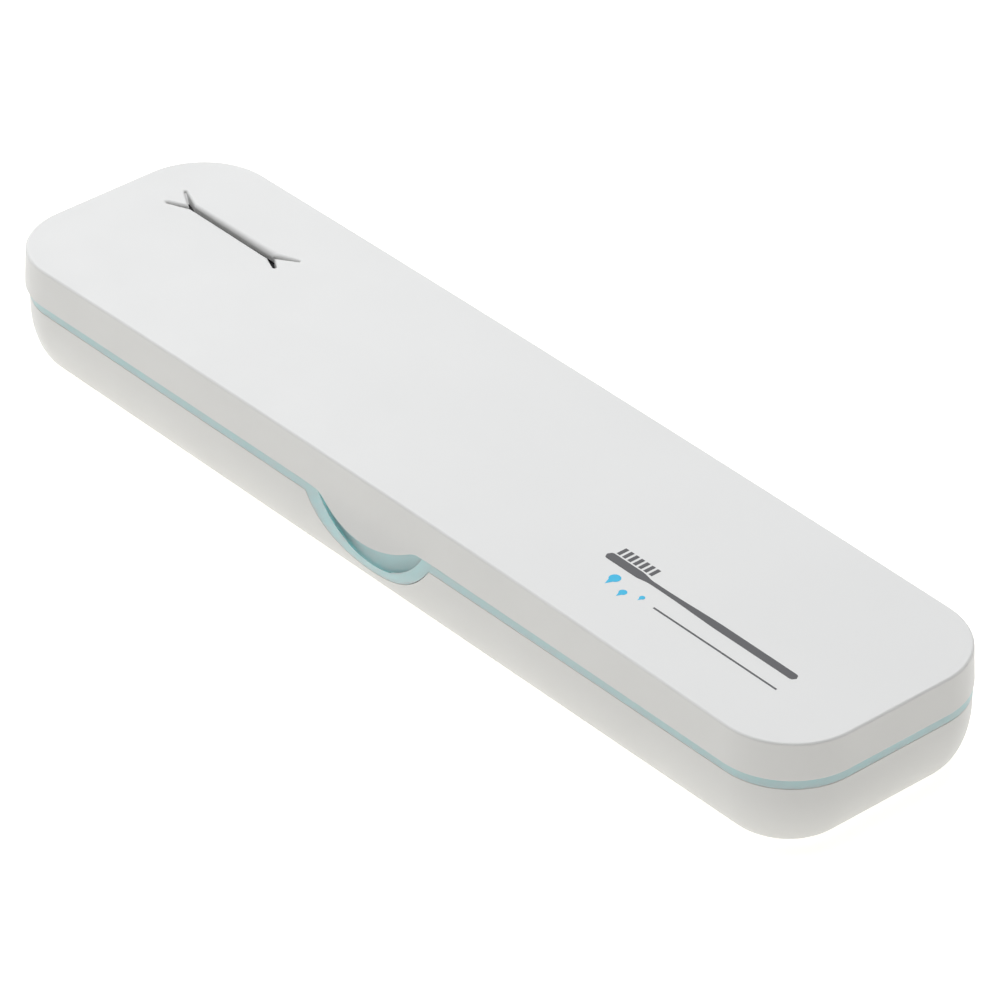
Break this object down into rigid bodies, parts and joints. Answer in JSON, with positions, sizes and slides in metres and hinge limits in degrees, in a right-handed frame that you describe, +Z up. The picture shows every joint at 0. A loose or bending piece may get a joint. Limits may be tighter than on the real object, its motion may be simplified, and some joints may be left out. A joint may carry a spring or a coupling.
{
  "type": "toothbrush sanitizer",
  "caption": "Slim portable case with a hinged lid, thumb scoop and slit window; inside are a brush tray, an ultraviolet lamp, a start button and a battery bay.",
  "frame": {"origin": "middle of the footprint on the table, with the case closed and standing on its two rubber feet", "axes": "+X along the case towards its battery end, +Y towards the hinge, +Z up; the thumb scoop faces -Y"},
  "size_m": [0.22, 0.0573, 0.025],
  "materials": {
    "white_plastic": "satin moulded ABS",
    "blue_plastic": "satin moulded ABS, pale blue-green",
    "white_insert": "fine matt moulded",
    "rubber": "matt",
    "steel": "zinc plated",
    "magnet": "nickel plated",
    "aluminium": "bright rolled sheet",
    "lamp_glass": "clear quartz",
    "ceramic": "off-white moulded holder",
    "smoke_window": "polished dark tint",
    "circuit_green": "solder mask",
    "component_black": "moulded epoxy",
    "winding_tape": "polyester tape",
    "battery_jacket": "printed film, plain blue",
    "light_pipe": "clear moulded",
    "wire_red": "wire insulation",
    "wire_black": "wire insulation"
  },
  "bodies": {
    "base": {"base_shell": "white_plastic", "inner_tray": "blue_plastic", "bay_cover": "white_insert", "lamp_guard": "white_insert", "catch_plate_left": "steel", "catch_plate_right": "steel", "hinge_pin_left": "steel", "hinge_pin_right": "steel", "uv_lamp": "lamp_glass", "lamp_holder_left": "ceramic", "lamp_holder_right": "ceramic", "lamp_reflector": "aluminium", "battery_left": "battery_jacket", "battery_right": "battery_jacket", "battery_spring": "steel", "battery_spring_plate": "steel", "battery_contact_plate": "steel", "circuit_board": "circuit_green", "inverter_transformer": "winding_tape", "capacitor": "component_black", "control_chip": "component_black", "reed_switch": "lamp_glass", "status_led": "light_pipe", "light_pipe": "light_pipe", "switch_housing": "component_black", "lamp_lead_left": "wire_black", "lamp_lead_right": "wire_black", "battery_lead_plus": "wire_red", "battery_lead_minus": "wire_black", "foot_left": "rubber", "foot_right": "rubber", "case_screw_front_left": "steel", "case_screw_front_right": "steel", "case_screw_back_left": "steel", "case_screw_back_right": "steel", "cover_screw_left": "steel", "cover_screw_right": "steel"},
    "lid": {"lid_shell": "white_plastic", "slit_window": "smoke_window", "lid_reflector": "aluminium", "catch_magnet_left": "magnet", "catch_magnet_right": "magnet", "sensor_magnet": "magnet"},
    "button": {"start_button": "blue_plastic", "switch_plunger": "component_black"},
    "door": {"battery_door": "white_plastic"}
  },
  "joints": [
    {"name": "lid_hinge", "type": "hinge", "parent": "base", "child": "lid", "pos_m": [0, 0.027, 0.0161], "axis": [-1, 0, 0], "range_deg": [0, 110]},
    {"name": "start_press", "type": "slide", "parent": "base", "child": "button", "axis": [0, 0, -1], "range_m": [0, 0.0008], "stiffness_N_per_m": 500, "springref_m": -0.0005},
    {"name": "door_tilt", "type": "hinge", "parent": "base", "child": "door", "pos_m": [-0.0028, 0.013, 0.0005], "axis": [0, 1, 0], "range_deg": [0, 75]}
  ]
}
